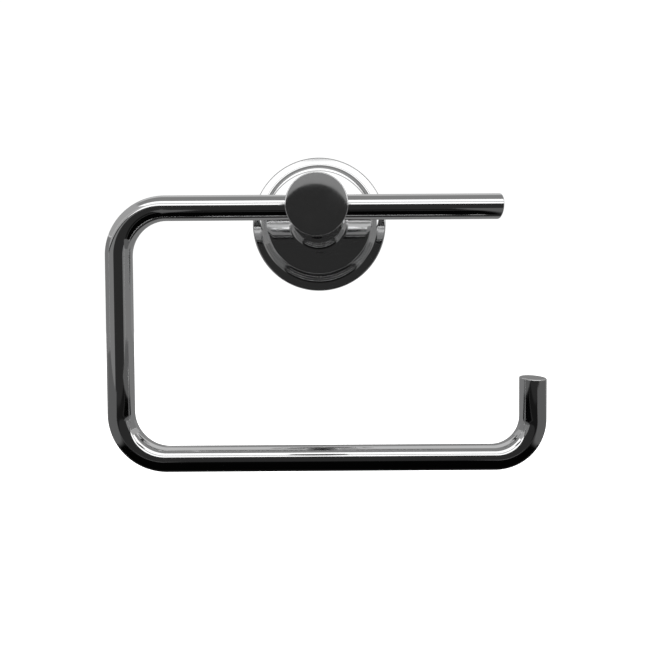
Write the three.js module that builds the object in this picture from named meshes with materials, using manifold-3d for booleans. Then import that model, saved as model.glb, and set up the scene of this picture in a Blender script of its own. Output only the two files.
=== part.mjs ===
// Wall-mounted toilet paper holder: a bent round bar that swings in a round post on a stepped rosette.
// Millimetres, +Z up. The origin is on the wall plane, on the post's axis. The post points to -Y.
// A depth is a distance from the wall towards the room, so a point at depth d has y = -d.

import * as THREE from 'three';
import { mergeVertices } from 'three/addons/utils/BufferGeometryUtils.js';
import Module from 'manifold-3d';

const wasm = await Module();
wasm.setup();

// ---- Driving dimensions ----
const GAP = 0.3;                    // air between pieces that are cut to fit each other
const SMALL_SIDES = 16;             // facets round screws, pins and plugs
const SIDES = 24;                   // facets round a thin piece
const ROUND_SIDES = 48;             // facets round the post, the rosette and the bracket

const BAR_RADIUS = 5;
const BAR_DEPTH = 47.3;             // wall to the plane of the bent bar
const BAR_DROP = 100.8;             // top run to bottom run
const LEG_X = -79.4;                // closed side
const STUB_X = 86.4;                // open side
const TOP_END_X = 72.8;             // free end of the top run
const STUB_TOP_Z = -68.7;
const LEG_BEND = 19;                // centre-line bend radii
const STUB_BEND = 16;
const BEND_STEPS = 8;

const SWING_IN = THREE.MathUtils.degToRad(24);    // bottom run swings back to the wall
const SWING_OUT = THREE.MathUtils.degToRad(90);   // bottom run is lifted to load a roll

const HEAD_RADIUS = 12.2;
const HEAD_FRONT = 54.4;
const HEAD_BACK = 30.5;
const HEAD_BEVEL = 0.4;
const NECK_RADIUS = 11.5;
const NECK_COVE = 3;

const FLANGE_RADIUS = 33.3;
const FLANGE_DEPTH = 6;
const FLANGE_ROUNDING = 0.8;
const STEP_RADIUS = 25.2;           // at its rounded front edge
const STEP_DEPTH = 16.3;
const STEP_CROWN = 8;               // radius of the shallow curve that its front face ends in
const CROWN_TILT = 12;              // degrees that the shallow curve turns through
const STEP_ROUNDING = 0.5;
const STEP_COVE = 3;
const STEP_DRAFT = 14;              // degrees that its side leans outwards towards the flange
const SHELL = 3;                    // wall of the hollow casting

const RING_X = 7;                   // the two O-rings in the cross bore
const RING_SECTION = 0.6;
const GROOVE_WIDTH = 3;             // the stop groove in the bar
const GROOVE_DEPTH = 1.2;

const M3 = 1.5;                     // thread radii
const M4 = 2;
const M6 = 3;
const PIN_RADIUS = 1.5;
const PIN_X = 7.5;
const SET_SCREW_KEY = 1.5;          // socket widths across their flats
const RETAINING_SCREW_KEY = 2;
const BOLT_KEY = 5;

const PLATE_RADIUS = 28.8;
const PLATE_THICKNESS = 2.2;
const CUP_RADIUS = 20.4;
const CUP_WALL = 2.2;
const CUP_DEPTH = 12.4;
const SLOT_Z = 12;                  // wall screws above and below the axis
const SLOT_LENGTH = 8;
const WALL_SCREW_END = -26;         // depths behind the wall are negative
const PLUG_SINK = 2.5;              // plugs are sunk below the wall surface
const PLUG_END = -30;
const PLUG_RADIUS = 3;

const FORWARD = new THREE.Vector3(0, -1, 0);
const RIGHT = new THREE.Vector3(1, 0, 0);
const UP = new THREE.Vector3(0, 0, 1);

// ---- Materials ----
function finish(color, roughness, metalness) {
  return new THREE.MeshStandardMaterial({ color, roughness, metalness });
}

const chrome = () => finish(0xd8dade, 0.05, 1);
const zincPlate = () => finish(0xb4b6b2, 0.4, 1);
const blackSteel = () => finish(0x2a2a2c, 0.5, 0.8);
const stainless = () => finish(0xc4c5c6, 0.28, 1);
const nitrile = () => finish(0x161616, 0.7, 0);
const nylon = () => finish(0xb9bab6, 0.6, 0);

// ---- Outlines and basic shapes ----
// An outline point is (radius, depth along the axis), and an outline runs anticlockwise.
const at = (radius, depth) => new THREE.Vector2(radius, depth);

function arc(radius, depth, size, fromDegrees, toDegrees, steps) {
  return Array.from({ length: steps + 1 }, (_, i) => {
    const angle = THREE.MathUtils.degToRad(fromDegrees + (toDegrees - fromDegrees) * i / steps);
    return at(radius + size * Math.cos(angle), depth + size * Math.sin(angle));
  });
}

// Turns an outline round the line through origin along direction.
function turned(outline, sides = SIDES, direction = FORWARD, origin = new THREE.Vector3()) {
  const geometry = new THREE.LatheGeometry(outline, sides);
  const turn = new THREE.Quaternion().setFromUnitVectors(new THREE.Vector3(0, 1, 0), direction);
  geometry.applyQuaternion(turn);
  return geometry.translate(origin.x, origin.y, origin.z);
}

function rod(radius, from, to, sides, direction, origin) {
  return turned([at(0, from), at(radius, from), at(radius, to), at(0, to)], sides, direction, origin);
}

function ring(inner, outer, from, to, sides, direction, origin) {
  const outline = [at(inner, from), at(outer, from), at(outer, to), at(inner, to), at(inner, from)];
  return turned(outline, sides, direction, origin);
}

// A six-sided key socket of the given width across its flats.
function hexSocket(width, from, to, direction, origin) {
  return rod(width / Math.sqrt(3), from, to, 6, direction, origin);
}

// ---- Booleans ----
function solid(geometry) {
  const bare = geometry.clone();
  bare.deleteAttribute('normal');
  bare.deleteAttribute('uv');
  const merged = mergeVertices(bare, 1e-4);
  const corners = merged.index.array;
  const triangles = [];
  for (let i = 0; i < corners.length; i += 3) {
    const [a, b, c] = corners.slice(i, i + 3);
    if (a !== b && b !== c && c !== a) triangles.push(a, b, c);
  }
  const vertProperties = new Float32Array(merged.attributes.position.array);
  const triVerts = new Uint32Array(triangles);
  return new wasm.Manifold(new wasm.Mesh({ numProp: 3, vertProperties, triVerts }));
}

function cut(geometry, cutters) {
  let body = solid(geometry);
  for (const cutter of cutters) body = body.subtract(solid(cutter));
  const { vertProperties, triVerts } = body.getMesh();
  const result = new THREE.BufferGeometry();
  result.setAttribute('position', new THREE.BufferAttribute(vertProperties, 3));
  result.setIndex(new THREE.BufferAttribute(triVerts, 1));
  result.computeVertexNormals();
  return result;
}

// ---- The bent bar ----
// A path whose evenly spaced points are the given ones, so a straight run needs only its two ends.
class StationPath extends THREE.Curve {
  constructor(points) {
    super();
    this.points = points;
  }

  getPointAt(u) {
    return this.points[Math.round(u * (this.points.length - 1))].clone();
  }

  getTangentAt(u) {
    const here = Math.round(u * (this.points.length - 1));
    const before = this.points[Math.max(here - 1, 0)];
    const after = this.points[Math.min(here + 1, this.points.length - 1)];
    const into = this.points[here].clone().sub(before).normalize();
    const out = after.clone().sub(this.points[here]).normalize();
    return into.add(out).normalize();
  }
}

// Points round a bend in the bar's plane, whose first and last points end the straight runs.
function bend(centreX, centreZ, radius, fromDegrees, toDegrees) {
  return arc(centreX, centreZ, radius, fromDegrees, toDegrees, BEND_STEPS)
    .map((p) => new THREE.Vector3(p.x, -BAR_DEPTH, p.y));
}

function barPath() {
  return new StationPath([
    new THREE.Vector3(TOP_END_X, -BAR_DEPTH, 0),
    ...bend(LEG_X + LEG_BEND, -LEG_BEND, LEG_BEND, 90, 180),
    ...bend(LEG_X + LEG_BEND, LEG_BEND - BAR_DROP, LEG_BEND, 180, 270),
    ...bend(STUB_X - STUB_BEND, STUB_BEND - BAR_DROP, STUB_BEND, 270, 360),
    new THREE.Vector3(STUB_X, -BAR_DEPTH, STUB_TOP_Z),
  ]);
}

// The groove runs only part of the way round, so its ends stop the swing on the retaining screw.
function stopGroove() {
  const pin = -Math.PI / 2;
  const pinHalfAngle = Math.asin(PIN_RADIUS / (BAR_RADIUS - GROOVE_DEPTH / 2));
  const start = pin - SWING_IN - pinHalfAngle;
  const end = pin + SWING_OUT + pinHalfAngle;
  const shape = new THREE.Shape();
  shape.absarc(0, 0, BAR_RADIUS + 1, start, end, false);
  shape.absarc(0, 0, BAR_RADIUS - GROOVE_DEPTH, end, start, true);
  shape.closePath();
  const options = { depth: GROOVE_WIDTH, bevelEnabled: false, curveSegments: 12 };
  const sector = new THREE.ExtrudeGeometry(shape, options);
  sector.applyMatrix4(new THREE.Matrix4().makeBasis(new THREE.Vector3(0, 1, 0), UP, RIGHT));
  return sector.translate(-GROOVE_WIDTH / 2, -BAR_DEPTH, 0);
}

function rollBar() {
  const section = new THREE.Shape();
  section.absarc(0, 0, BAR_RADIUS, 0, 2 * Math.PI, false);
  const path = barPath();
  const options = { steps: path.points.length - 1, curveSegments: SIDES / 2, extrudePath: path };
  return cut(new THREE.ExtrudeGeometry(section, options), [stopGroove()]);
}

// ---- The head and what holds the bar in it ----
const BAR_CENTRE = new THREE.Vector3(0, -BAR_DEPTH, 0);
const BORE_RADIUS = BAR_RADIUS + GAP;
const RING_MIDDLE = BORE_RADIUS + RING_SECTION;

function barHead() {
  const body = turned([
    at(0, HEAD_BACK), at(HEAD_RADIUS, HEAD_BACK), at(HEAD_RADIUS, HEAD_FRONT - HEAD_BEVEL),
    at(HEAD_RADIUS - HEAD_BEVEL, HEAD_FRONT), at(0, HEAD_FRONT),
  ], ROUND_SIDES);
  const reach = HEAD_RADIUS + 1;
  const ringSeat = RING_SECTION + GAP;
  return cut(body, [
    rod(BORE_RADIUS, -reach, reach, SIDES, RIGHT, BAR_CENTRE),
    ...[-RING_X, RING_X].map((x) => (
      rod(RING_MIDDLE + ringSeat, x - ringSeat, x + ringSeat, SIDES, RIGHT, BAR_CENTRE))),
    rod(M4 + GAP, -reach, 0, SMALL_SIDES, UP, BAR_CENTRE),
    rod(M6 + GAP, HEAD_BACK - 1, BAR_DEPTH - BORE_RADIUS - 2),
    pinHole(),
  ]);
}

function barRing(x) {
  return turned(arc(RING_MIDDLE, x, RING_SECTION, 0, 360, 8), SIDES, RIGHT, BAR_CENTRE);
}

// A grub screw up from under the head. Its dog point stands in the bar's groove.
function retainingScrew() {
  const foot = -HEAD_RADIUS + 0.7;
  const shoulder = -BORE_RADIUS - 0.4;
  const dogRadius = PIN_RADIUS - GAP;
  const tip = -(BAR_RADIUS - GROOVE_DEPTH) - GAP;
  const outline = [
    at(0, foot), at(M4, foot), at(M4, shoulder), at(dogRadius, shoulder), at(dogRadius, tip), at(0, tip),
  ];
  const socket = hexSocket(RETAINING_SCREW_KEY, foot - 1, foot + 2, UP, BAR_CENTRE);
  return cut(turned(outline, SMALL_SIDES, UP, BAR_CENTRE), [socket]);
}

const PIN_FROM = 25.5;              // depths of the locating pin's ends
const PIN_TO = 35;

function pinHole() {
  const origin = new THREE.Vector3(PIN_X, 0, 0);
  return rod(PIN_RADIUS + GAP, PIN_FROM - GAP, PIN_TO + GAP, SMALL_SIDES, FORWARD, origin);
}

function locatingPin() {
  return rod(PIN_RADIUS, PIN_FROM, PIN_TO, SMALL_SIDES, FORWARD, new THREE.Vector3(PIN_X, 0, 0));
}

// ---- The rosette and the bolt that pulls the head onto its neck ----
const POCKET_DEPTH = STEP_DEPTH - SHELL;
const SET_SCREW_DEPTH = 11.2;
const SET_SCREW_CENTRE = new THREE.Vector3(0, -SET_SCREW_DEPTH, 0);

function wallRosette() {
  const rim = FLANGE_RADIUS - FLANGE_ROUNDING;
  const edge = STEP_RADIUS - STEP_ROUNDING;
  const draft = THREE.MathUtils.degToRad(STEP_DRAFT);
  const tilt = THREE.MathUtils.degToRad(CROWN_TILT);
  const crown = edge - (STEP_CROWN - STEP_ROUNDING) * Math.sin(tilt);
  const edgeDepth = STEP_DEPTH - STEP_CROWN + (STEP_CROWN - STEP_ROUNDING) * Math.cos(tilt);
  const side = edgeDepth - FLANGE_DEPTH - STEP_COVE;
  const cove = edge + (STEP_ROUNDING + STEP_COVE + side * Math.sin(draft)) / Math.cos(draft);
  const foot = NECK_RADIUS + NECK_COVE;
  const neckFront = HEAD_BACK - GAP;
  const pocket = CUP_RADIUS + 2 * GAP;
  const body = turned([
    at(FLANGE_RADIUS, 0),
    ...arc(rim, FLANGE_DEPTH - FLANGE_ROUNDING, FLANGE_ROUNDING, 0, 90, 5),
    ...arc(cove, FLANGE_DEPTH + STEP_COVE, STEP_COVE, 270, 180 + STEP_DRAFT, 5),
    ...arc(edge, edgeDepth, STEP_ROUNDING, STEP_DRAFT, 90 - CROWN_TILT, 3),
    ...arc(crown, STEP_DEPTH - STEP_CROWN, STEP_CROWN, 90 - CROWN_TILT, 90, 3),
    ...arc(foot, STEP_DEPTH + NECK_COVE, NECK_COVE, 270, 180, 4),
    at(NECK_RADIUS, neckFront), at(M6 + GAP, neckFront), at(M6 + GAP, POCKET_DEPTH),
    at(pocket, POCKET_DEPTH), at(pocket, SHELL), at(FLANGE_RADIUS - SHELL, SHELL),
    at(FLANGE_RADIUS - SHELL, 0), at(FLANGE_RADIUS, 0),
  ], ROUND_SIDES);
  const setScrewHole = rod(M3 + GAP, -STEP_RADIUS - 4, 1 - pocket, SMALL_SIDES, UP, SET_SCREW_CENTRE);
  return cut(body, [pinHole(), setScrewHole]);
}

const FLAT_WASHER = 1.2;            // thicknesses
const LOCK_WASHER = 1.4;
const FLAT_WASHER_RADIUS = 6.2;
const LOCK_WASHER_RADIUS = 5.3;
const FLAT_WASHER_BACK = POCKET_DEPTH - GAP - FLAT_WASHER;
const LOCK_WASHER_BACK = FLAT_WASHER_BACK - GAP - LOCK_WASHER;
const BOLT_HEAD_FRONT = LOCK_WASHER_BACK - GAP;
const BOLT_HEAD_HEIGHT = 6;
const BOLT_HEAD_RADIUS = 5;

function flatWasher() {
  return ring(M6 + GAP, FLAT_WASHER_RADIUS, FLAT_WASHER_BACK, FLAT_WASHER_BACK + FLAT_WASHER);
}

function lockWasher() {
  const split = new THREE.BoxGeometry(1.1, 3 * LOCK_WASHER, 8).rotateZ(THREE.MathUtils.degToRad(25));
  split.translate(0, -LOCK_WASHER_BACK - LOCK_WASHER / 2, 6);
  const washer = ring(M6 + GAP, LOCK_WASHER_RADIUS, LOCK_WASHER_BACK, LOCK_WASHER_BACK + LOCK_WASHER);
  return cut(washer, [split]);
}

function headBolt() {
  const back = BOLT_HEAD_FRONT - BOLT_HEAD_HEIGHT;
  const tip = HEAD_BACK + 8.5;
  const outline = [
    at(0, back), at(BOLT_HEAD_RADIUS - 0.4, back), at(BOLT_HEAD_RADIUS, back + 0.4),
    at(BOLT_HEAD_RADIUS, BOLT_HEAD_FRONT), at(M6, BOLT_HEAD_FRONT),
    at(M6, tip - 0.6), at(M6 - 0.6, tip), at(0, tip),
  ];
  return cut(turned(outline), [hexSocket(BOLT_KEY, back - 1, back + 3)]);
}

function rosetteSetScrew() {
  const foot = -STEP_RADIUS + 0.5;
  const tip = -CUP_RADIUS - GAP;
  const outline = [at(0, foot), at(M3, foot), at(M3, tip - 0.5), at(M3 - 0.5, tip), at(0, tip)];
  const socket = hexSocket(SET_SCREW_KEY, foot - 1, foot + 1.5, UP, SET_SCREW_CENTRE);
  return cut(turned(outline, SMALL_SIDES, UP, SET_SCREW_CENTRE), [socket]);
}

// ---- The wall bracket and its fixings ----
function slot(centreZ, angle) {
  const half = SLOT_LENGTH / 2 - M4 - GAP;
  const shape = new THREE.Shape();
  shape.absarc(half, 0, M4 + GAP, -Math.PI / 2, Math.PI / 2, false);
  shape.absarc(-half, 0, M4 + GAP, Math.PI / 2, 1.5 * Math.PI, false);
  shape.closePath();
  const length = PLATE_THICKNESS + 2;
  const cutter = new THREE.ExtrudeGeometry(shape, { depth: length, bevelEnabled: false, curveSegments: 8 });
  cutter.rotateZ(angle).rotateX(Math.PI / 2);
  return cutter.translate(0, 1, centreZ);
}

function wallBracket() {
  const inner = CUP_RADIUS - CUP_WALL;
  const body = turned([
    at(0, 0), at(PLATE_RADIUS, 0), at(PLATE_RADIUS, PLATE_THICKNESS), at(CUP_RADIUS, PLATE_THICKNESS),
    at(CUP_RADIUS, CUP_DEPTH), at(inner, CUP_DEPTH), at(inner, PLATE_THICKNESS), at(0, PLATE_THICKNESS),
  ], ROUND_SIDES);
  return cut(body, [slot(SLOT_Z, 0), slot(-SLOT_Z, Math.PI / 2)]);
}

function wallScrew(z) {
  const seat = PLATE_THICKNESS + GAP;
  const crown = seat + 2.4;
  const origin = new THREE.Vector3(0, 0, z);
  const outline = [
    at(0, WALL_SCREW_END), at(M4, WALL_SCREW_END + 4), at(M4, seat), at(4, seat), at(4, seat + 1),
    at(3, crown - 0.3), at(1.5, crown), at(0, crown),
  ];
  const blade = () => new THREE.BoxGeometry(4.2, 3, 0.9).translate(0, -crown, 0);
  const cross = [blade(), blade().rotateY(Math.PI / 2)].map((bar) => bar.translate(0, 0, z));
  return cut(turned(outline, SMALL_SIDES, FORWARD, origin), cross);
}

function wallPlug(z) {
  const bore = M4 + GAP;
  const outline = [
    at(0, PLUG_END), at(PLUG_RADIUS - 0.8, PLUG_END), at(PLUG_RADIUS, PLUG_END + 4),
    at(PLUG_RADIUS, -PLUG_SINK), at(bore, -PLUG_SINK),
    at(bore, WALL_SCREW_END - 1), at(0, WALL_SCREW_END - 1),
  ];
  return turned(outline, SMALL_SIDES, FORWARD, new THREE.Vector3(0, 0, z));
}

// ---- Assembly ----
const group = new THREE.Group();

function add(parent, name, geometry, material) {
  const mesh = new THREE.Mesh(geometry, material);
  mesh.name = name;
  parent.add(mesh);
}

const wallFixing = new THREE.Group();
const post = new THREE.Group();
const swingingBar = new THREE.Group();
group.add(wallFixing, post, swingingBar);

add(wallFixing, 'wall_bracket', wallBracket(), zincPlate());
for (const [place, z] of [['upper', SLOT_Z], ['lower', -SLOT_Z]]) {
  add(wallFixing, `wall_screw_${place}`, wallScrew(z), stainless());
  add(wallFixing, `wall_plug_${place}`, wallPlug(z), nylon());
}

add(post, 'wall_rosette', wallRosette(), chrome());
add(post, 'rosette_set_screw', rosetteSetScrew(), stainless());
add(post, 'bar_head', barHead(), chrome());
add(post, 'locating_pin', locatingPin(), stainless());
add(post, 'head_bolt', headBolt(), blackSteel());
add(post, 'lock_washer', lockWasher(), stainless());
add(post, 'flat_washer', flatWasher(), stainless());
add(post, 'bar_retaining_screw', retainingScrew(), stainless());
for (const [side, x] of [['left', -RING_X], ['right', RING_X]]) {
  add(post, `bar_ring_${side}`, barRing(x), nitrile());
}

add(swingingBar, 'roll_bar', rollBar(), chrome());

export default group;
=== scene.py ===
"""Looks of the toilet paper holder: a bent chrome bar in a round post on a stepped rosette.

The row frame has its origin on the wall plane on the post's axis, +Z up and -Y towards the room.
Lengths in this script are millimetres until a mesh is made, and MM turns them into metres.
A depth is a distance from the wall towards the room, so a point at depth d has y = -d.
"""

import math

import bmesh
import bpy
import numpy as np
from mathutils import Matrix, Vector


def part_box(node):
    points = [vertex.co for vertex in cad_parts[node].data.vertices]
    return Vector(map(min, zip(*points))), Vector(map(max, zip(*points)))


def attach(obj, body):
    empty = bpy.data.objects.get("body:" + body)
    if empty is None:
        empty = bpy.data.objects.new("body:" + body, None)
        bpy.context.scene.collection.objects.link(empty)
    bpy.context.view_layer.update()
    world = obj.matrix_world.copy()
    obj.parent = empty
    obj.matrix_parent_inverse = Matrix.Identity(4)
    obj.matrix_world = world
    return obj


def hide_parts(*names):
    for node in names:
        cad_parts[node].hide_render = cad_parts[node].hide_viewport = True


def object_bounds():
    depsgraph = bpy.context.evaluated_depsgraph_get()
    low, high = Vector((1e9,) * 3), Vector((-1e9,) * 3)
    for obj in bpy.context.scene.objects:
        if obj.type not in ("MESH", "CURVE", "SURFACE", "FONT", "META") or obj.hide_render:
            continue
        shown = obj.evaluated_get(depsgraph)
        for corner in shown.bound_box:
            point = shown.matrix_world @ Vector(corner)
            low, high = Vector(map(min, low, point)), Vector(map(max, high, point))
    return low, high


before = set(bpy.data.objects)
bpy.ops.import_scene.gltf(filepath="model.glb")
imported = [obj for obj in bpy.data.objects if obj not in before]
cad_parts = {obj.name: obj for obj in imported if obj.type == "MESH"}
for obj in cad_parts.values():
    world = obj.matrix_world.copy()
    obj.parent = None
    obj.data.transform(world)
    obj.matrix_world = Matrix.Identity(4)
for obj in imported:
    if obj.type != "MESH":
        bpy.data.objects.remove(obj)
cad_low, cad_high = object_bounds()

MM = 0.001


# ---- Sizes: read from the frame where a box or a vertex gives them, otherwise the CAD's own ----
def box_mm(node):
    low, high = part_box(node)
    return np.array(low) / MM, np.array(high) / MM


def vertices_mm(node):
    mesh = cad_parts[node].data
    places = np.empty(3 * len(mesh.vertices))
    mesh.vertices.foreach_get("co", places)
    return places.reshape(-1, 3) / MM


bar_low, bar_high = box_mm("roll_bar")
BAR_RADIUS = (bar_high[1] - bar_low[1]) / 2
BAR_DEPTH = -(bar_high[1] + bar_low[1]) / 2
LEG_X = bar_low[0] + BAR_RADIUS
STUB_X = bar_high[0] - BAR_RADIUS
BAR_DROP = -(bar_low[2] + BAR_RADIUS)
bar_points = vertices_mm("roll_bar")
TOP_END_X = bar_points[bar_points[:, 2] > -BAR_RADIUS - 1][:, 0].max()
stub_heights = bar_points[bar_points[:, 0] > STUB_X - BAR_RADIUS - 1][:, 2]
STUB_TOP_Z = stub_heights[stub_heights < -BAR_DROP / 2].max()
LEG_BEND, STUB_BEND = 19, 16    # centre-line radii of the bends

head_low, head_high = box_mm("bar_head")
HEAD_RADIUS = head_high[2]
HEAD_FRONT = -head_low[1]
HEAD_BACK = -head_high[1]
rosette_low, rosette_high = box_mm("wall_rosette")
FLANGE_RADIUS = rosette_high[2]
NECK_FRONT = -rosette_low[1]
STEP_RADIUS = 25.2
STEP_DEPTH = 16.3
NECK_RADIUS = 11.5
SHELL = 3
CUP_RADIUS = 20.4
SET_SCREW_DEPTH = 11.2

X_AXIS = np.array((1.0, 0.0, 0.0))
OUTWARD = np.array((0.0, -1.0, 0.0))
Z_AXIS = np.array((0.0, 0.0, 1.0))
CENTRE = np.zeros(3)
BAR_CENTRE = np.array((0.0, -BAR_DEPTH, 0.0))

MEDIUM, FINE, FINEST = 96, 192, 256   # facets round the bar and small pieces, large pieces, the rosette
SURFACE_TOLERANCE = 0.02              # a face this close to a round surface lies on it
SURFACE_AGREEMENT = 0.85              # if the cosine between their normals is at least this


# ---- Outlines: pieces of a closed curve in the (radius, depth) plane ----
class Line:
    def __init__(self, start, end):
        self.start, self.end = np.array(start, float), np.array(end, float)
        along = (self.end - self.start) / np.linalg.norm(self.end - self.start)
        self.normal = np.array((along[1], -along[0]))

    def points(self):
        return [self.start, self.end]

    def surface(self, flat):
        """Distance of each point from the line, and the line's normal there."""
        return np.abs((flat - self.start) @ self.normal), np.broadcast_to(self.normal, flat.shape)


class Arc:
    def __init__(self, centre, size, start, end, steps):
        self.centre, self.size = np.array(centre, float), size
        self.angles = np.radians(np.linspace(start, end, steps + 1))

    def points(self):
        return [self.centre + self.size * np.array((math.cos(a), math.sin(a))) for a in self.angles]

    def surface(self, flat):
        out = flat - self.centre
        length = np.linalg.norm(out, axis=1)
        return np.abs(length - self.size), out / np.maximum(length, 1e-9)[:, None]


def lines(*corners):
    return [Line(a, b) for a, b in zip(corners, corners[1:])]


def arc(centre, size, start, end, steps):
    return [Arc(centre, size, start, end, steps)]


def joined(*parts):
    """One list of pieces, with a line wherever a piece doesn't start where the last one ended."""
    pieces = []
    for piece in [p for part in parts for p in part]:
        if pieces:
            gap_start, gap_end = pieces[-1].points()[-1], piece.points()[0]
            if np.linalg.norm(gap_end - gap_start) > 1e-6:
                pieces.append(Line(gap_start, gap_end))
        pieces.append(piece)
    return pieces


# ---- Turned bodies ----
class Turned:
    """An outline turned round the line through origin along axis.

    wobble(angle, depth, radius) is how far a point at that radius moves outwards.
    """

    def __init__(self, pieces, origin=CENTRE, axis=OUTWARD, sides=FINE, wobble=None):
        self.pieces, self.origin, self.axis, self.sides, self.wobble = pieces, origin, axis, sides, wobble
        helper = X_AXIS if abs(axis[0]) < 0.5 else Z_AXIS
        self.side = np.cross(helper, axis) / np.linalg.norm(np.cross(helper, axis))
        self.other = np.cross(axis, self.side)

    def outline(self):
        points = []
        for piece in self.pieces:
            for point in piece.points():
                if not points or np.linalg.norm(point - points[-1]) > 1e-6:
                    points.append(point)
        closed = np.linalg.norm(points[0] - points[-1]) < 1e-6
        return (points[:-1], True) if closed else (points, False)

    def mesh(self, name):
        points, closed = self.outline()
        made = bmesh.new()
        rings = []
        for radius, depth in points:
            if radius < 1e-6:
                rings.append([made.verts.new(MM * (self.origin + depth * self.axis))])
                continue
            ring = []
            for i in range(self.sides):
                angle = 2 * math.pi * i / self.sides
                out = math.cos(angle) * self.side + math.sin(angle) * self.other
                reach = radius + (self.wobble(angle, depth, radius) if self.wobble else 0)
                ring.append(made.verts.new(MM * (self.origin + depth * self.axis + reach * out)))
            rings.append(ring)
        for lower, upper in zip(rings, rings[1:] + rings[:1] if closed else rings[1:]):
            bridge(made, lower, upper)
        return finished(made, name)

    def surfaces(self):
        for piece in self.pieces:
            yield lambda places, piece=piece: self.place(piece, places)

    def place(self, piece, places):
        """Distance of each place from the piece's surface, and the surface's normal there."""
        from_origin = places - self.origin
        depth = from_origin @ self.axis
        out = from_origin - depth[:, None] * self.axis
        radius = np.linalg.norm(out, axis=1)
        out = out / np.maximum(radius, 1e-9)[:, None]
        distance, flat = piece.surface(np.column_stack((radius, depth)))
        return distance, flat[:, :1] * out + flat[:, 1:] * self.axis


def bridge(made, lower, upper):
    """Faces between two rings, either of which may be a single point."""
    count = max(len(lower), len(upper))
    for i in range(count):
        j = (i + 1) % count
        below = lower[i % len(lower)], lower[j % len(lower)]
        above = upper[j % len(upper)], upper[i % len(upper)]
        distinct = list(dict.fromkeys(below + above))
        if len(distinct) > 2:
            made.faces.new(distinct)


def finished(made, name):
    bmesh.ops.recalc_face_normals(made, faces=made.faces)
    mesh = bpy.data.meshes.new(name)
    made.to_mesh(mesh)
    made.free()
    return mesh


def rod(radius, start, end, origin=CENTRE, axis=OUTWARD):
    return Turned(lines((0, start), (radius, start), (radius, end), (0, end)), origin, axis, MEDIUM)


def box_mesh(name, low, high, turn=Matrix()):
    """A box between two corners in millimetres, then turned by a matrix."""
    low, high = Vector(low), Vector(high)
    made = bmesh.new()
    bmesh.ops.create_cube(made, size=1)
    stretch = Matrix.Diagonal((*(high - low), 1))
    bmesh.ops.transform(made, matrix=turn @ Matrix.Translation((low + high) / 2) @ stretch, verts=made.verts)
    bmesh.ops.scale(made, vec=(MM, MM, MM), verts=made.verts)
    return finished(made, name)


def prism_mesh(name, corners, start, end, origin, axis=OUTWARD):
    """A flat outline of (side, other) corners, stretched along the axis."""
    turned = Turned([], origin, axis)
    made = bmesh.new()
    rings = []
    for depth in (start, end):
        rings.append([made.verts.new(MM * (origin + a * turned.side + b * turned.other + depth * axis))
                      for a, b in corners])
    bridge(made, *rings)
    for ring in rings:
        made.faces.new(ring)
    return finished(made, name)


def hex_socket(width, start, end, origin, axis):
    corner = width / math.sqrt(3)
    corners = [(corner * math.cos(k * math.pi / 3), corner * math.sin(k * math.pi / 3)) for k in range(6)]
    return prism_mesh("hex", corners, start, end, origin, axis)


# ---- Cutting and shading ----
def placed(mesh):
    thing = bpy.data.objects.new(mesh.name, mesh)
    bpy.context.scene.collection.objects.link(thing)
    return thing


def carve(mesh, cutters):
    """The mesh with every cutter mesh taken away. The meshes that it's given are used up."""
    name = mesh.name
    body = placed(mesh)
    tools = [placed(cutter) for cutter in cutters]
    for tool in tools:
        boolean = body.modifiers.new("cut", "BOOLEAN")
        boolean.operation, boolean.solver, boolean.object = "DIFFERENCE", "EXACT", tool
    evaluated = body.evaluated_get(bpy.context.evaluated_depsgraph_get())
    result = bpy.data.meshes.new_from_object(evaluated)
    for used in [mesh, *cutters]:
        bpy.data.meshes.remove(used)
    result.name = name
    return result


def shade(mesh, surfaces):
    """Gives every face corner the exact normal of the smooth surface that its face lies on."""
    corners, faces = len(mesh.loops), len(mesh.polygons)
    corner_vertex, face_start, face_size = (np.empty(n, int) for n in (corners, faces, faces))
    mesh.loops.foreach_get("vertex_index", corner_vertex)
    mesh.polygons.foreach_get("loop_start", face_start)
    mesh.polygons.foreach_get("loop_total", face_size)
    places, face_normal = np.empty(3 * len(mesh.vertices)), np.empty(3 * faces)
    mesh.vertices.foreach_get("co", places)
    mesh.polygons.foreach_get("normal", face_normal)
    places = places.reshape(-1, 3)[corner_vertex] / MM
    face_of = np.repeat(np.arange(faces), face_size)
    flat = face_normal.reshape(-1, 3)[face_of]
    normals, best = flat.copy(), np.full(faces, SURFACE_TOLERANCE)
    for surface in surfaces:
        distance, normal = surface(places)
        agreement = np.sum(normal * flat, axis=1)
        distance = np.where(np.abs(agreement) < SURFACE_AGREEMENT, np.inf, distance)
        worst = np.maximum.reduceat(distance, face_start)
        nearer = worst < best
        best[nearer] = worst[nearer]
        chosen = nearer[face_of]
        normals[chosen] = (normal * np.sign(agreement)[:, None])[chosen]
    mesh.shade_smooth()
    mesh.normals_split_custom_set(normals.tolist())
    return mesh


def turned_piece(name, body, round_cutters=(), flat_cutters=()):
    """A turned body, with round and flat-sided cutters taken away, shaded exactly."""
    mesh = body.mesh(name)
    if round_cutters or flat_cutters:
        mesh = carve(mesh, [c.mesh("cutter") for c in round_cutters] + list(flat_cutters))
    return shade(mesh, [s for b in (body, *round_cutters) for s in b.surfaces()])


# ---- The bent bar ----
BEND_STEPS = 40
END_ROUNDING = 0.45
ROUNDING_STEPS = 8
GROOVE_RADIUS = 3.8
GROOVE_WIDTH = 3
GROOVE_START, GROOVE_END = -134, 20    # degrees from +Y towards +Z
GROOVE_STEPS = 40


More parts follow.
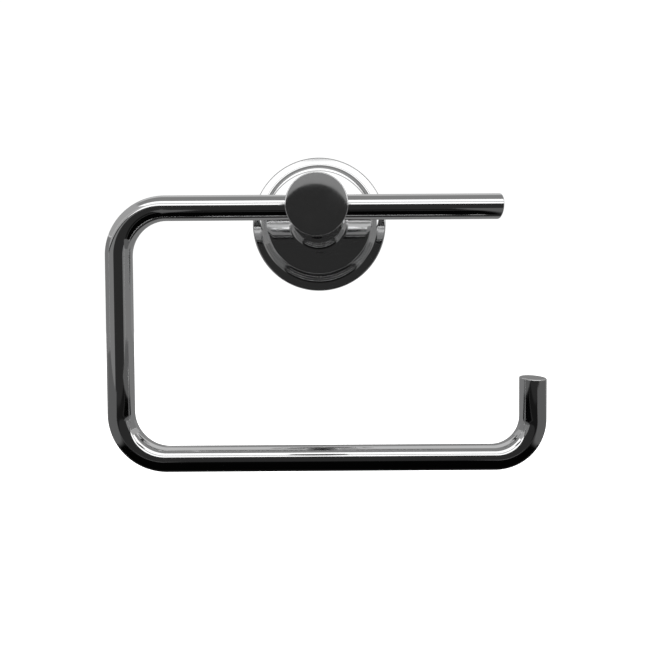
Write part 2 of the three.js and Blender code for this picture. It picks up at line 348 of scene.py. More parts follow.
def bar_stations():
    """(place, direction) along the bar's centre line, from its free end to its stub, and its bends."""
    stations = [((TOP_END_X, 0.0), (-1.0, 0.0))]
    bends = [
        (LEG_X + LEG_BEND, -LEG_BEND, LEG_BEND, 90),
        (LEG_X + LEG_BEND, LEG_BEND - BAR_DROP, LEG_BEND, 180),
        (STUB_X - STUB_BEND, STUB_BEND - BAR_DROP, STUB_BEND, 270),
    ]
    for x, z, radius, start in bends:
        for angle in np.radians(np.linspace(start, start + 90, BEND_STEPS + 1)):
            place = (x + radius * math.cos(angle), z + radius * math.sin(angle))
            stations.append((place, (-math.sin(angle), math.cos(angle))))
    stations.append(((STUB_X, STUB_TOP_Z), (0.0, 1.0)))
    return stations, bends


def bar_mesh():
    stations, bends = bar_stations()
    core = BAR_RADIUS - END_ROUNDING
    made = bmesh.new()

    def ring(place, direction, radius):
        forward = np.array((direction[0], 0, direction[1]))
        centre = np.array((place[0], -BAR_DEPTH, place[1]))
        if radius == 0:
            return [made.verts.new(MM * centre)]
        across = np.cross(forward, OUTWARD)
        turns = [2 * math.pi * i / MEDIUM for i in range(MEDIUM)]
        rim = [math.cos(a) * OUTWARD + math.sin(a) * across for a in turns]
        return [made.verts.new(MM * (centre + radius * out)) for out in rim]

    def end_rings(place, direction, side):
        """Rings that round one end off, from the middle of its face outwards."""
        rings = [ring(place, direction, 0)]
        for k in range(ROUNDING_STEPS + 1):
            angle = math.pi / 2 * k / ROUNDING_STEPS
            back = END_ROUNDING * (1 - math.cos(angle)) * side
            centre = (place[0] + back * direction[0], place[1] + back * direction[1])
            rings.append(ring(centre, direction, core + END_ROUNDING * math.sin(angle)))
        return rings

    first, last = stations[0], stations[-1]
    rings = end_rings(*first, 1)
    rings += [ring(place, direction, BAR_RADIUS) for place, direction in stations[1:-1]]
    rings += end_rings(*last, -1)[::-1]
    for lower, upper in zip(rings, rings[1:]):
        bridge(made, lower, upper)
    mesh = carve(finished(made, "roll_bar_bent"), [groove_cutter()])
    return shade(mesh, list(bar_surfaces(bends)))


def bar_surfaces(bends):
    """The runs as cylinders, the bends as rings, the two rounded ends and the groove's floor."""
    core = BAR_RADIUS - END_ROUNDING
    run = [Line((BAR_RADIUS, -1), (BAR_RADIUS, 1))]

    def rounded_end(at):
        return [Arc((core, at - END_ROUNDING), END_ROUNDING, 0, 90, 1), Line((core, at), (0, at))]

    for x, z, radius, _ in bends:
        yield from Turned([Arc((radius, BAR_DEPTH), BAR_RADIUS, 0, 360, 1)], np.array((x, 0, z))).surfaces()
    bottom = np.array((0, -BAR_DEPTH, -BAR_DROP))
    leg = np.array((LEG_X, -BAR_DEPTH, 0))
    stub = np.array((STUB_X, -BAR_DEPTH, 0))
    groove_floor = [Line((GROOVE_RADIUS, -1), (GROOVE_RADIUS, 1))]
    for pieces, origin, axis in [
        (run + groove_floor + rounded_end(TOP_END_X), BAR_CENTRE, X_AXIS),
        (run, bottom, X_AXIS),
        (run, leg, Z_AXIS),
        (run + rounded_end(STUB_TOP_Z), stub, Z_AXIS),
    ]:
        yield from Turned(pieces, origin, axis).surfaces()


def groove_cutter():
    """A sector of a ring round the top run, in which the retaining screw's point runs."""
    outer = BAR_RADIUS + 1
    angles = np.radians(np.linspace(GROOVE_START, GROOVE_END, GROOVE_STEPS + 1))
    made = bmesh.new()
    layers = []
    for x in (-GROOVE_WIDTH / 2, GROOVE_WIDTH / 2):
        outside = [(outer * math.cos(a), outer * math.sin(a)) for a in angles]
        inside = [(GROOVE_RADIUS * math.cos(a), GROOVE_RADIUS * math.sin(a)) for a in angles[::-1]]
        layers.append([made.verts.new(MM * (BAR_CENTRE + np.array((x, y, z)))) for y, z in outside + inside])
    bridge(made, *layers)
    half = len(angles)
    for layer in layers:
        for k in range(half - 1):
            made.faces.new((layer[k], layer[k + 1], layer[-2 - k], layer[-1 - k]))
    return finished(made, "groove")


# ---- Threads and small details that move a turned surface in or out ----
def thread(radius, pitch, start, end, depth):
    """A wobble that cuts a V thread of that depth into a cylinder, faded at both ends."""
    def wobble(angle, at, reach):
        if abs(reach - radius) > 1e-3 or not start < at < end:
            return 0
        phase = (at / pitch - angle / (2 * math.pi)) % 1
        fade = min(1, (at - start) / pitch, (end - at) / pitch)
        return -depth * fade * (1 - abs(2 * phase - 1))
    return wobble


def threaded_lines(radius, pitch, start, end, steps=8):
    """A cylinder's outline with enough rings to carry a thread."""
    count = max(2, round(abs(end - start) / pitch * steps))
    return lines(*[(radius, start + (end - start) * k / count) for k in range(count + 1)])


# ---- The pieces ----
M3, M4, M6 = 1.5, 2.0, 3.0     # thread radii
GAP = 0.3
BORE_RADIUS = BAR_RADIUS + GAP
RING_SECTION = 0.6
RING_MIDDLE = BORE_RADIUS + RING_SECTION
RING_X = 7
PIN_X = 7.5
PIN_RADIUS = 1.5
BOLT_HEAD_RADIUS = 5
BOLT_HEAD_HEIGHT = 6
BOLT_KEY, BOLT_KEY_DEPTH = 5, 3
SHARP_CORNER = math.radians(35)
SET_SCREW_CENTRE = np.array((0.0, -SET_SCREW_DEPTH, 0.0))
POCKET_DEPTH = STEP_DEPTH - SHELL
pin_low, pin_high = box_mm("locating_pin")
PIN_FROM, PIN_TO = -pin_high[1], -pin_low[1]


def pin_hole():
    return rod(PIN_RADIUS + GAP, PIN_FROM - GAP, PIN_TO + GAP, np.array((PIN_X, 0, 0)))


def bar_head():
    bevel = 0.4
    edge = 0.25
    pieces = joined(
        lines((0, HEAD_BACK), (HEAD_RADIUS - edge, HEAD_BACK)),
        arc((HEAD_RADIUS - edge, HEAD_BACK + edge), edge, -90, 0, 6),
        arc((HEAD_RADIUS - bevel, HEAD_FRONT - bevel), bevel, 0, 90, 12),
        lines((HEAD_RADIUS - bevel, HEAD_FRONT), (0, HEAD_FRONT)),
    )
    reach = HEAD_RADIUS + 1
    seat = RING_SECTION + GAP
    cutters = [
        rod(BORE_RADIUS, -reach, reach, BAR_CENTRE, X_AXIS),
        *[rod(RING_MIDDLE + seat, x - seat, x + seat, BAR_CENTRE, X_AXIS) for x in (-RING_X, RING_X)],
        rod(M4 + GAP, -reach, 0, BAR_CENTRE, Z_AXIS),
        rod(M6 + GAP, HEAD_BACK - 1, BAR_DEPTH - BORE_RADIUS - 2),
        pin_hole(),
    ]
    return turned_piece("post_head", Turned(pieces), cutters)


def wall_rosette():
    flange_depth, flange_rounding = 6, 0.8
    crown, crown_tilt, step_rounding = 8, 12, 0.5
    step_cove, draft, neck_cove = 3, 14, 3
    edge = 0.25
    pocket = CUP_RADIUS + 2 * GAP
    tilt, lean = math.radians(crown_tilt), math.radians(draft)
    step_edge = STEP_RADIUS - step_rounding
    edge_depth = STEP_DEPTH - crown + (crown - step_rounding) * math.cos(tilt)
    rise = edge_depth - flange_depth - step_cove
    cove_radius = step_edge + (step_rounding + step_cove + rise * math.sin(lean)) / math.cos(lean)
    inner = FLANGE_RADIUS - SHELL
    pieces = joined(
        lines((inner, 0), (FLANGE_RADIUS, 0)),
        arc((FLANGE_RADIUS - flange_rounding, flange_depth - flange_rounding), flange_rounding, 0, 90, 20),
        arc((cove_radius, flange_depth + step_cove), step_cove, 270, 180 + draft, 24),
        arc((step_edge, edge_depth), step_rounding, draft, 90 - crown_tilt, 10),
        arc((step_edge - (crown - step_rounding) * math.sin(tilt), STEP_DEPTH - crown), crown,
            90 - crown_tilt, 90, 10),
        arc((NECK_RADIUS + neck_cove, STEP_DEPTH + neck_cove), neck_cove, 270, 180, 16),
        arc((NECK_RADIUS - edge, NECK_FRONT - edge), edge, 0, 90, 6),
        lines((NECK_RADIUS - edge, NECK_FRONT), (M6 + GAP, NECK_FRONT), (M6 + GAP, POCKET_DEPTH),
              (pocket, POCKET_DEPTH), (pocket, SHELL), (inner, SHELL), (inner, 0)),
    )
    screw_hole = rod(M3 + GAP, -STEP_RADIUS - 4, 1 - pocket, SET_SCREW_CENTRE, Z_AXIS)
    return turned_piece("stepped_rosette", Turned(pieces, sides=FINEST), [pin_hole(), screw_hole])


def grub_screw(name, node, radius, pitch, key, origin, dog=None):
    """A headless screw that points up, with a hex socket in its foot and a flat or dog point."""
    low, high = box_mm(node)
    foot, top = low[2], high[2]
    chamfer, dog_chamfer = 0.3, 0.15
    if dog:
        dog_radius, shoulder = dog
        point = lines((radius - chamfer, shoulder), (dog_radius, shoulder), (dog_radius, top - dog_chamfer),
                      (dog_radius - dog_chamfer, top), (0, top))
    else:
        shoulder = top
        point = lines((radius - chamfer, top), (0, top))
    pieces = joined(
        lines((0, foot), (radius - chamfer, foot), (radius, foot + chamfer)),
        threaded_lines(radius, pitch, foot + chamfer, shoulder - chamfer),
        lines((radius, shoulder - chamfer), (radius - chamfer, shoulder)),
        point,
    )
    wobble = thread(radius, pitch, foot + chamfer, shoulder - chamfer, 0.5 * pitch)
    body = Turned(pieces, origin, Z_AXIS, MEDIUM, wobble)
    socket = hex_socket(key, foot - 1, foot + key, origin, Z_AXIS)
    return threaded_piece(name, body, [socket])


def threaded_piece(name, body, cutters):
    """A piece with a thread or ribs, whose corners are kept sharp and whose round parts are smooth."""
    mesh = carve(body.mesh(name), cutters)
    mesh.shade_smooth()
    mesh.set_sharp_from_angle(angle=SHARP_CORNER)
    return mesh


def head_bolt():
    low, high = box_mm("head_bolt")
    back, tip = -high[1], -low[1]
    head_front = back + BOLT_HEAD_HEIGHT
    edge, tip_chamfer, pitch, plain_shank = 0.4, 0.6, 1, 4
    pieces = joined(
        lines((0, back), (BOLT_HEAD_RADIUS - edge, back)),
        arc((BOLT_HEAD_RADIUS - edge, back + edge), edge, -90, 0, 6),
        lines((BOLT_HEAD_RADIUS, head_front), (M6, head_front)),
        threaded_lines(M6, pitch, head_front + 1, tip - tip_chamfer, 6),
        lines((M6, tip - tip_chamfer), (M6 - tip_chamfer, tip), (0, tip)),
    )
    wobble = thread(M6, pitch, head_front + plain_shank, tip - tip_chamfer, 0.5 * pitch)
    body = Turned(pieces, sides=MEDIUM, wobble=wobble)
    socket = hex_socket(BOLT_KEY, back - 1, back + BOLT_KEY_DEPTH, CENTRE, OUTWARD)
    return threaded_piece("post_bolt", body, [socket])


def locating_pin():
    chamfer = 0.3
    neck = PIN_RADIUS - chamfer
    pieces = lines((0, PIN_FROM), (neck, PIN_FROM), (PIN_RADIUS, PIN_FROM + chamfer),
                   (PIN_RADIUS, PIN_TO - chamfer), (neck, PIN_TO), (0, PIN_TO))
    return turned_piece("dowel_pin", Turned(pieces, np.array((PIN_X, 0, 0)), sides=MEDIUM))


def washer_outline(node):
    """The rounded section of a washer, from the box of its node."""
    low, high = box_mm(node)
    outer, back, front = high[0], -high[1], -low[1]
    inner, edge = M6 + GAP, 0.2
    return joined(
        lines((inner, back), (outer - edge, back)),
        arc((outer - edge, back + edge), edge, -90, 0, 4),
        arc((outer - edge, front - edge), edge, 0, 90, 4),
        lines((outer - edge, front), (inner, front), (inner, back)),
    )


def flat_washer():
    return turned_piece("plain_washer", Turned(washer_outline("flat_washer"), sides=MEDIUM))


def lock_washer():
    low, high = box_mm("lock_washer")
    middle = (low[1] + high[1]) / 2
    half_gap, slant, split_z = 0.55, math.radians(25), 6
    tilt = Matrix.Translation((0, middle, split_z)) @ Matrix.Rotation(slant, 4, "Z")
    split = box_mesh("split", (-half_gap, -3, -4), (half_gap, 3, 4), tilt)
    return turned_piece("spring_washer", Turned(washer_outline("lock_washer"), sides=MEDIUM), (), [split])


def bar_ring(x, name):
    pieces = arc((RING_MIDDLE, x), RING_SECTION, 0, 360, 24)
    return turned_piece(name, Turned(pieces, BAR_CENTRE, X_AXIS, MEDIUM))


plate_low, plate_high = box_mm("wall_bracket")
PLATE_RADIUS = plate_high[0]
CUP_DEPTH = -plate_low[1]
PLATE_THICKNESS = 2.2
SLOT_Z = 12
SLOT_LENGTH = 8


def slot_cutter(z, upright):
    """A round-ended slot through the plate."""
    radius = M4 + GAP
    half = SLOT_LENGTH / 2 - radius
    turns = np.radians(np.linspace(-90, 90, 17))
    right = [(half + radius * math.cos(a), radius * math.sin(a)) for a in turns]
    corners = right + [(-x, -y) for x, y in right]
    if upright:
        corners = [(-y, x) for x, y in corners]
    return prism_mesh("slot", corners, -1, PLATE_THICKNESS + 1, np.array((0, 0, z)))


def wall_bracket():
    edge, bend = 0.5, 1.0
    inner = CUP_RADIUS - 2.2
    pieces = joined(
        lines((0, 0), (PLATE_RADIUS - 0.3, 0)),
        arc((PLATE_RADIUS - 0.3, 0.3), 0.3, -90, 0, 4),
        arc((PLATE_RADIUS - edge, PLATE_THICKNESS - edge), edge, 0, 90, 6),
        arc((CUP_RADIUS + bend, PLATE_THICKNESS + bend), bend, 270, 180, 8),
        arc((CUP_RADIUS - edge, CUP_DEPTH - edge), edge, 0, 90, 6),
        arc((inner + edge, CUP_DEPTH - edge), edge, 90, 180, 6),
        arc((inner - bend, PLATE_THICKNESS + bend), bend, 0, -90, 8),
        lines((inner - bend, PLATE_THICKNESS), (0, PLATE_THICKNESS)),
    )
    slots = [slot_cutter(SLOT_Z, False), slot_cutter(-SLOT_Z, True)]
    return turned_piece("bracket_plate", Turned(pieces), (), slots)


def wall_screw(name, node):
    low, high = box_mm(node)
    z, tip, crown = (low[2] + high[2]) / 2, -high[1], -low[1]
    seat = PLATE_THICKNESS + GAP
    core, pitch, thread_height, thread_half_width = M4 - 0.55, 1.8, 0.5, 0.22
    head_radius, dome, dome_edge = 4, 7.2, 34
    edge, tip_radius, point_length = 0.2, 0.2, 4
    pieces = joined(
        lines((0, tip), (tip_radius, tip), (core, tip + point_length)),
        threaded_lines(core, pitch, tip + point_length, seat - 1, 12),
        lines((core, seat - 1), (M4, seat), (head_radius - edge, seat)),
        arc((head_radius - edge, seat + edge), edge, -90, 0, 4),
        arc((0, crown - dome), dome, dome_edge, 90, 10),
    )

    def coarse_thread(angle, at, reach):
        if abs(reach - core) > 1e-3 or not tip + point_length < at < seat - 3:
            return 0
        phase = (at / pitch - angle / (2 * math.pi)) % 1
        return thread_height * max(0, 1 - abs(phase - 0.5) / thread_half_width)

    body = Turned(pieces, np.array((0, 0, z)), sides=MEDIUM, wobble=coarse_thread)
    return threaded_piece(name, body, cross_cutters(crown, z))


def cross_cutters(crown, z):
    """Two crossed blades that make a cross recess in a screw's crown."""
    half_length, half_width, recess = 2.1, 0.45, 1.4
    blades = []
    for turn in (0, 90):
        matrix = Matrix.Translation((0, -crown, z)) @ Matrix.Rotation(math.radians(turn), 4, "Y")
        low, high = (-half_length, -1, -half_width), (half_length, recess, half_width)
        blades.append(box_mesh("blade", low, high, matrix))
    return blades


def wall_plug(name, node):
    """A ribbed nylon plug, split lengthways at its far end."""
    low, high = box_mm(node)
    z, end, mouth = (low[2] + high[2]) / 2, -high[1], -low[1]
    radius, bore, floor = high[0], M4 + GAP, end + 3
    narrowing, steps, tapered_steps = 0.8, 60, 8
    rib_pitch, rib_height = 2.4, 0.45
    rings = np.linspace(end, mouth, steps + 1)
    body_side = lines(*[(radius - narrowing + narrowing * min(1, k / tapered_steps), depth)
                        for k, depth in enumerate(rings)])
    pieces = joined(lines((0, end), (radius - narrowing, end)), body_side,
                    lines((radius, mouth), (bore, mouth), (bore, floor), (0, floor)))

    def ribs(angle, at, reach):
        if reach < radius - 0.01 or not end + 5 < at < mouth - 3:
            return 0
        saw = ((at - end) / rib_pitch) % 1
        return -rib_height * saw

    body = Turned(pieces, np.array((0, 0, z)), sides=MEDIUM, wobble=ribs)
    half_gap, split_length, past = 0.3, 14, radius + 1
    split = box_mesh("split", (-half_gap, -end - split_length, z - past), (half_gap, -end + 1, z + past))
    return threaded_piece(name, body, [split])


# ---- Materials ----
NOISE_LOW, NOISE_HIGH = 0.35, 0.65    # most of a noise lies between these


class Nodes:
    """A new material with short calls for making and joining its nodes."""

    def __init__(self, name):
        self.material = bpy.data.materials.new(name)
        self.material.use_nodes = True
        self.tree = self.material.node_tree
        self.shader = self.tree.nodes["Principled BSDF"]
        self.place = self.add("ShaderNodeTexCoord").outputs["Object"]

    def add(self, kind, **values):
        made = self.tree.nodes.new(kind)
        for key, value in values.items():
            setattr(made, key, value)
        return made

    def link(self, source, target):
        self.tree.links.new(source, target)

    def constants(self, **values):
        for key, value in values.items():
            self.shader.inputs[key.replace("_", " ")].default_value = value

    def noise(self, scale, detail=3.0, stretch=(1, 1, 1)):
        """Noise in object space. scale is in cells a metre."""
        mapping = self.add("ShaderNodeMapping")
        mapping.inputs["Scale"].default_value = stretch
        self.link(self.place, mapping.inputs["Vector"])
        texture = self.add("ShaderNodeTexNoise")
        texture.inputs["Scale"].default_value = scale
        texture.inputs["Detail"].default_value = detail
        self.link(mapping.outputs["Vector"], texture.inputs["Vector"])
        return texture.outputs["Fac"]

    def remap(self, noise, low, high):
        """The noise as a number between low and high."""
        ramp = self.add("ShaderNodeMapRange")
        ramp.inputs["From Min"].default_value = NOISE_LOW
        ramp.inputs["From Max"].default_value = NOISE_HIGH
        ramp.inputs["To Min"].default_value = low
        ramp.inputs["To Max"].default_value = high
        self.link(noise, ramp.inputs["Value"])
        return ramp.outputs["Result"]

    def blend(self, noise, first, second):
        """The noise as a colour between first and second."""
        ramp = self.add("ShaderNodeValToRGB")
        ends = zip(ramp.color_ramp.elements, (NOISE_LOW, NOISE_HIGH), (first, second))
        for element, position, colour in ends:
            element.position = position
            element.color = (*colour, 1)
        self.link(noise, ramp.inputs["Fac"])
        return ramp.outputs["Color"]

    def bump(self, source, height, before=None):
        """A bump of that height in metres, over the bump before it if there is one."""
        made = self.add("ShaderNodeBump")
        made.inputs["Strength"].default_value = 1
        made.inputs["Distance"].default_value = height
        self.link(source, made.inputs["Height"])
        if before:
            self.link(before, made.inputs["Normal"])
        return made.outputs["Normal"]

    def set(self, socket, source):
        self.link(source, self.shader.inputs[socket])


def polished_chrome():
    """Mirror plate over hand-polished brass: faint waves in the reflections and a very fine grain."""
    m = Nodes("polished_chrome")
    m.constants(Metallic=1.0)
    m.set("Base Color", m.blend(m.noise(90), (0.955, 0.96, 0.965), (0.975, 0.975, 0.975)))
    smudge = m.noise(140, 4)
    m.set("Roughness", m.remap(smudge, 0.05, 0.075))
    waves = m.bump(m.noise(70, 1.0), 0.000012)
    m.set("Normal", m.bump(m.noise(2600, 2.0), 0.0000002, waves))
    return m.material


def zinc_plate():
    """Bright zinc on pressed steel: a blotchy grey with a slight warm cast and fine grain."""
    m = Nodes("zinc_plate")
    m.constants(Metallic=1.0)
    m.set("Base Color", m.blend(m.noise(160, 5), (0.52, 0.53, 0.50), (0.66, 0.66, 0.62)))
    m.set("Roughness", m.remap(m.noise(420, 4), 0.3, 0.46))
    m.set("Normal", m.bump(m.noise(2400, 3), 0.000006))
    return m.material


def stainless_steel():
    """Turned steel with fine tool marks round it."""
    m = Nodes("stainless_steel")
    m.constants(Metallic=1.0)
    m.set("Base Color", m.blend(m.noise(300), (0.60, 0.60, 0.59), (0.70, 0.70, 0.69)))
    m.set("Roughness", m.remap(m.noise(900, 3), 0.2, 0.34))
    m.set("Normal", m.bump(m.noise(1500, 2, stretch=(0.2, 3, 0.2)), 0.000004))
    return m.material


def black_steel():
    """Black oxide, a little brown where the oil has dried."""
    m = Nodes("black_steel")
    m.constants(Metallic=0.7)
    m.set("Base Color", m.blend(m.noise(500, 4), (0.022, 0.022, 0.024), (0.06, 0.055, 0.05)))
    m.set("Roughness", m.remap(m.noise(800, 3), 0.35, 0.55))
    m.set("Normal", m.bump(m.noise(2600, 3), 0.000008))
    return m.material


def nitrile_rubber():
    """Moulded black rubber with a fine matt grain."""
    m = Nodes("nitrile_rubber")
    m.set("Base Color", m.blend(m.noise(700, 4), (0.012, 0.012, 0.012), (0.03, 0.03, 0.03)))
    m.set("Roughness", m.remap(m.noise(1200, 3), 0.55, 0.75))
    m.set("Normal", m.bump(m.noise(4000, 3), 0.00001))
    return m.material


def grey_nylon():
    """Moulded nylon, slightly mottled, with a fine spark-eroded grain."""
    m = Nodes("grey_nylon")
    m.constants(Subsurface_Weight=0.08)
    m.shader.inputs["Subsurface Radius"].default_value = (0.001, 0.001, 0.0009)
    m.set("Base Color", m.blend(m.noise(260, 4), (0.40, 0.41, 0.40), (0.50, 0.50, 0.48)))
    m.set("Roughness", m.remap(m.noise(900, 3), 0.42, 0.6))
    m.set("Normal", m.bump(m.noise(2800, 3), 0.000014))
    return m.material


MATERIALS = {
    "polished_chrome": polished_chrome(),
    "zinc_plate": zinc_plate(),
    "stainless_steel": stainless_steel(),
    "black_steel": black_steel(),
    "nitrile_rubber": nitrile_rubber(),
    "grey_nylon": grey_nylon(),
}


# ---- Assembly ----
def piece(mesh, node, body, slot):
    """Puts a mesh in the scene in the place of a CAD node."""
    made = placed(mesh)
    mesh.materials.clear()
    mesh.materials.append(MATERIALS[slot])
    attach(made, body)
    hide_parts(node)


piece(bar_mesh(), "roll_bar", "bar", "polished_chrome")
piece(bar_head(), "bar_head", "post", "polished_chrome")
piece(wall_rosette(), "wall_rosette", "post", "polished_chrome")
piece(wall_bracket(), "wall_bracket", "post", "zinc_plate")
piece(head_bolt(), "head_bolt", "post", "black_steel")
piece(flat_washer(), "flat_washer", "post", "stainless_steel")
piece(lock_washer(), "lock_washer", "post", "stainless_steel")
piece(locating_pin(), "locating_pin", "post", "stainless_steel")
piece(grub_screw("head_grub_screw", "bar_retaining_screw", M4, 0.7, 2, BAR_CENTRE, (1.2, -5.7)),
      "bar_retaining_screw", "post", "stainless_steel")
piece(grub_screw("rosette_grub_screw", "rosette_set_screw", M3, 0.5, 1.5, SET_SCREW_CENTRE),
      "rosette_set_screw", "post", "stainless_steel")
for side, x in (("left", -RING_X), ("right", RING_X)):
    piece(bar_ring(x, f"o_ring_{side}"), f"bar_ring_{side}", "post", "nitrile_rubber")
for place in ("upper", "lower"):
    screw, plug = f"wall_screw_{place}", f"wall_plug_{place}"
    piece(wall_screw(f"fixing_screw_{place}", screw), screw, "post", "stainless_steel")
    piece(wall_plug(f"fixing_plug_{place}", plug), plug, "post", "grey_nylon")


# ---- Studio ----
WHITE, LIGHT, SEAM, PALE, MIDDLE, GREY, DIM = 1.15, 0.49, 0.38, 0.34, 0.215, 0.18, 0.1
DARK, SOOT, BLACK = 0.0222, 0.008, 0.001


def emission(name, tone, spans=(), feather=0.0):
    """A plain glow. Near the edges of its spans, (axis, length) pairs, it fades to clear over feather."""
    material = bpy.data.materials.new(name)
    material.use_nodes = True
    tree = material.node_tree
    tree.nodes.clear()
    light = tree.nodes.new("ShaderNodeEmission")
    light.inputs["Color"].default_value = (tone, tone, tone, 1)
    output = tree.nodes.new("ShaderNodeOutputMaterial")
    if not feather:
        tree.links.new(light.outputs["Emission"], output.inputs["Surface"])
        return material
    split = tree.nodes.new("ShaderNodeSeparateXYZ")
    tree.links.new(tree.nodes.new("ShaderNodeTexCoord").outputs["Generated"], split.inputs["Vector"])

    def math_node(operation, first, second):
        made = tree.nodes.new("ShaderNodeMath")
        made.operation = operation
        for value, socket in zip((first, second), made.inputs):
            if isinstance(value, (int, float)):
                socket.default_value = value
            else:
                tree.links.new(value, socket)
        return made.outputs["Value"]

    cover = None
    for axis, length in spans:
        middle = math_node("SUBTRACT", split.outputs[axis], 0.5)
        inside = math_node("SUBTRACT", 0.5, math_node("ABSOLUTE", middle, 0))
        ramp = tree.nodes.new("ShaderNodeMapRange")
        ramp.interpolation_type = "SMOOTHSTEP"
        ramp.inputs["From Max"].default_value = min(feather / length, 0.5)
        tree.links.new(inside, ramp.inputs["Value"])
        cover = math_node("MULTIPLY", cover, ramp.outputs["Result"]) if cover else ramp.outputs["Result"]
    mix = tree.nodes.new("ShaderNodeMixShader")
    tree.links.new(cover, mix.inputs["Fac"])
    tree.links.new(tree.nodes.new("ShaderNodeBsdfTransparent").outputs["BSDF"], mix.inputs[1])
    tree.links.new(light.outputs["Emission"], mix.inputs[2])
    tree.links.new(mix.outputs["Shader"], output.inputs["Surface"])
    return material


def reflected_only(thing, material):
    """A studio card, seen only in reflections."""
    thing.data.materials.append(material)
    thing.visible_camera = thing.visible_diffuse = thing.visible_shadow = False
    thing.visible_transmission = thing.visible_volume_scatter = False


def card(name, corners, tone, feather=0.0):
    made = bmesh.new()
    made.faces.new([made.verts.new(MM * Vector(corner)) for corner in corners])
    thing = placed(finished(made, name))
    lengths = np.ptp(np.array(corners, float), axis=0)
    spans = [(axis, float(length)) for axis, length in enumerate(lengths) if length > 0]
    reflected_only(thing, emission(name, tone, spans[:2], feather))


def front_card(name, x_range, z_range, y, tone, feather=0.0):
    (left, right), (low, high) = x_range, z_range
    card(name, [(left, y, low), (right, y, low), (right, y, high), (left, y, high)], tone, feather)


def level_card(name, x_range, y_range, z, tone, feather=0.0):
    (left, right), (near, far) = x_range, y_range
    card(name, [(left, near, z), (right, near, z), (right, far, z), (left, far, z)], tone, feather)


def side_card(name, x, y_range, z_range, tone):
    (near, far), (low, high) = y_range, z_range
    card(name, [(x, near, low), (x, far, low), (x, far, high), (x, near, high)], tone)


TENT = (-600, 600)        # pairs are from left to right, from front to back or from low to high
FRONT, BACK = -290, 600
ROOF, FLOOR_CARD = 145, -125
PANEL = (-215, 330)       # width of most of the panels, the white ones among them
OPENING = (-179, 283)     # width of the dark opening under the front panel, behind the camera
BLACK_FLOOR = (-125, 130)
FLAG_CENTRE, FLAG_RADIUS, FLAG_Y = (-3.4, 10.6), 22, -150
FLAG_SURROUND = (-27, 20), (8, 45)
SURROUND_RADIUS, FLOOR_SIZE, FLOOR_DROP = 6, 4, 0.35    # metres
PALE_GREY = (0.9, 0.9, 0.9, 1)
CAMERA_PLACE = (4.15, -211.05, -33.35)
CAMERA_PITCH, CAMERA_ROLL = math.radians(-1.166), math.radians(-0.368)


def light_tent():
    """Large panels round the holder, tuned for the bands that the chrome shows in the front view."""
    front_card("front_base", TENT, (62, ROOF), FRONT - 8, PALE)
    front_card("front_lower", TENT, (-400, 62), FRONT - 8, GREY)
    front_card("front_gap", TENT, (34, 68), FRONT - 7, DARK, 8)
    front_card("opening", OPENING, (-400, 55), FRONT - 6, DARK, 20)
    front_card("front_seam", PANEL, (118, ROOF), FRONT - 1, SEAM, 4)
    front_card("front_panel", PANEL, (56, 124), FRONT, WHITE, 3)
    level_card("roof_base", TENT, (FRONT, BACK), ROOF + 8, PALE)
    level_card("roof_seam", PANEL, (FRONT, -266), ROOF + 2, SEAM)
    level_card("roof_far", PANEL, (180, BACK), ROOF + 5, MIDDLE, 30)
    level_card("roof_back", PANEL, (-32, 230), ROOF + 4, LIGHT, 30)
    level_card("roof_middle", PANEL, (-170, 8), ROOF + 3, MIDDLE, 20)
    level_card("roof_front", PANEL, (-270, -146), ROOF, WHITE, 8)
    level_card("floor_card", TENT, (FRONT, 10), FLOOR_CARD, DIM)
    level_card("floor_front", BLACK_FLOOR, (FRONT, -230), FLOOR_CARD + 1, DARK)
    level_card("floor_soot", BLACK_FLOOR, (-240, -160), FLOOR_CARD + 2, SOOT, 15)
    level_card("floor_black", BLACK_FLOOR, (-170, -38), FLOOR_CARD + 3, BLACK, 12)
    level_card("floor_near_wall", BLACK_FLOOR, (-50, 10), FLOOR_CARD + 1, DARK)
    level_card("floor_back", TENT, (10, BACK), FLOOR_CARD, GREY)
    side_card("left_wall", TENT[0], (FRONT, BACK), (FLOOR_CARD, ROOF), GREY)
    side_card("right_wall", TENT[1], (FRONT, BACK), (FLOOR_CARD, ROOF), GREY)
    front_card("back_wall", TENT, (FLOOR_CARD, ROOF), BACK, MIDDLE)


def camera_flag():
    """A dark disc and a grey card behind it, which the head's flat front mirrors in the front view as a
    painted dark reflection.

    They stand off the camera's axis, so they aren't where a real lens would be.
    """
    x, z = FLAG_CENTRE
    turns = np.radians(np.linspace(0, 360, 48, endpoint=False))
    rim = [(x + FLAG_RADIUS * math.cos(a), FLAG_Y, z + FLAG_RADIUS * math.sin(a)) for a in turns]
    # The disc named lens is a dark card, not a lens: it paints the dark reflection on the head's front.
    card("lens", rim, DARK)
    front_card("dark_disc_surround", *FLAG_SURROUND, FLAG_Y - 1, MIDDLE, 3)


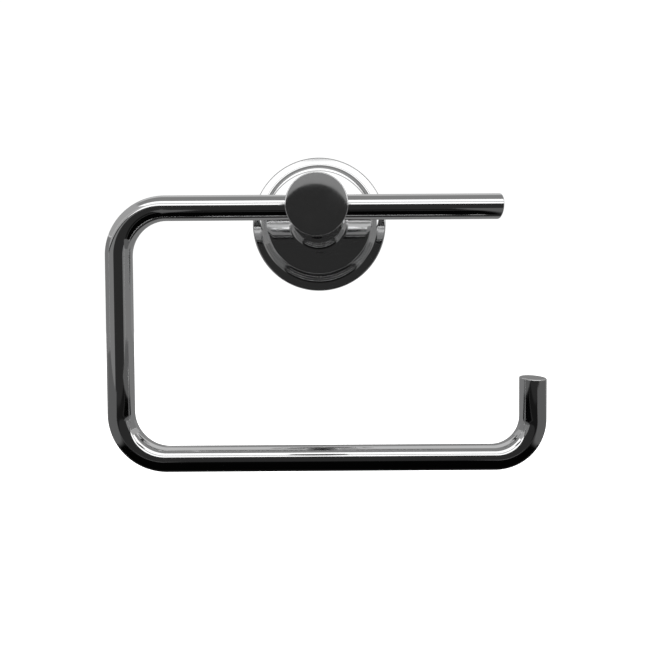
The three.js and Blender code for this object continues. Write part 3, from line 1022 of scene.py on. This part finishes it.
def backdrop():
    """A pale floor, and a white surround that only the camera sees. Neither shows in reflections."""
    made = bmesh.new()
    bmesh.ops.create_uvsphere(made, u_segments=48, v_segments=24, radius=SURROUND_RADIUS)
    surround = placed(finished(made, "surround"))
    surround.data.materials.append(emission("surround", 1.05))
    surround.visible_diffuse = surround.visible_glossy = surround.visible_shadow = False
    surround.visible_transmission = False
    floor_material = Nodes("pale_floor")
    floor_material.constants(Roughness=0.9, Emission_Strength=1.0)
    floor_material.shader.inputs["Base Color"].default_value = PALE_GREY
    floor_material.shader.inputs["Emission Color"].default_value = PALE_GREY
    made = bmesh.new()
    bmesh.ops.create_grid(made, x_segments=1, y_segments=1, size=FLOOR_SIZE)
    bmesh.ops.translate(made, vec=(0, 0, cad_low[2] - FLOOR_DROP), verts=made.verts)
    floor = placed(finished(made, "floor"))
    floor.data.materials.append(floor_material.material)
    floor.visible_glossy = False


def soft_light(name, place, energy, size):
    """A square lamp, in metres, that points at the post and doesn't show in reflections."""
    lamp = bpy.data.lights.new(name, "AREA")
    lamp.energy, lamp.size = energy, size
    thing = bpy.data.objects.new(name, lamp)
    thing.location = place
    thing.rotation_euler = (-Vector(place)).to_track_quat("-Z", "Y").to_euler()
    thing.visible_glossy = False
    bpy.context.scene.collection.objects.link(thing)


def surroundings():
    world = bpy.data.worlds.new("studio")
    world.use_nodes = True
    world.node_tree.nodes["Background"].inputs["Color"].default_value = (0.6, 0.6, 0.6, 1)
    bpy.context.scene.world = world
    soft_light("key", (-0.5, -0.7, 0.9), 9, 0.7)
    soft_light("back", (0.6, 0.8, 0.5), 6, 0.7)


def camera():
    """Close, a little below the post and almost level, with a wide lens that is slightly shifted."""
    forward = Vector((0, math.cos(CAMERA_PITCH), math.sin(CAMERA_PITCH)))
    level_right = forward.cross(Vector((0, 0, 1))).normalized()
    level_up = level_right.cross(forward)
    right = level_right * math.cos(CAMERA_ROLL) + level_up * math.sin(CAMERA_ROLL)
    up = right.cross(forward)
    lens = bpy.data.cameras.new("camera")
    lens.sensor_width, lens.lens = 36, 22.616
    lens.shift_x, lens.shift_y = -0.0046, -0.0398
    lens.clip_start, lens.clip_end = 0.01, 20
    thing = bpy.data.objects.new("camera", lens)
    thing.matrix_world = Matrix.Translation(MM * Vector(CAMERA_PLACE)) @ Matrix(
        (right, up, -forward)).transposed().to_4x4()
    bpy.context.scene.collection.objects.link(thing)
    bpy.context.scene.camera = thing


light_tent()
camera_flag()
backdrop()
surroundings()
camera()
bpy.context.scene.view_settings.view_transform = "Standard"
